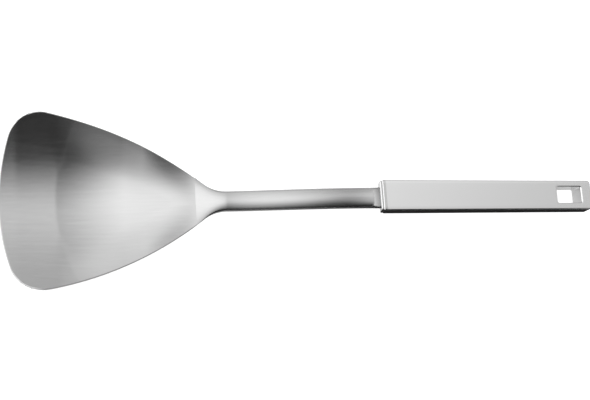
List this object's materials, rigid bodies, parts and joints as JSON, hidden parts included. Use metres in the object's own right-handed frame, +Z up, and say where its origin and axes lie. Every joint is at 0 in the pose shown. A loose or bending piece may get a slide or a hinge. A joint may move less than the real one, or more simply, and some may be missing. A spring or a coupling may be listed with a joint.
{
  "type": "spatula",
  "caption": "Steel kitchen turner with a dished fan-shaped blade, a crowned arched stem and a hollow rectangular handle with a hanging eye.",
  "frame": {"origin": "on the table, under the middle of the tool's box as it lies at rest", "axes": "+X along the tool from the blade to the handle's end, +Y across it, +Z up from the table"},
  "size_m": [0.3624, 0.099, 0.0174],
  "materials": {
    "satin_steel": "satin, brushed in fine lines",
    "polished_steel": "fine polish"
  },
  "bodies": {
    "root": {"blade": "satin_steel", "stem": "satin_steel", "front_cap": "polished_steel", "handle_upper_shell": "polished_steel", "handle_lower_shell": "polished_steel", "hanging_eye_sleeve": "polished_steel"}
  },
  "joints": []
}
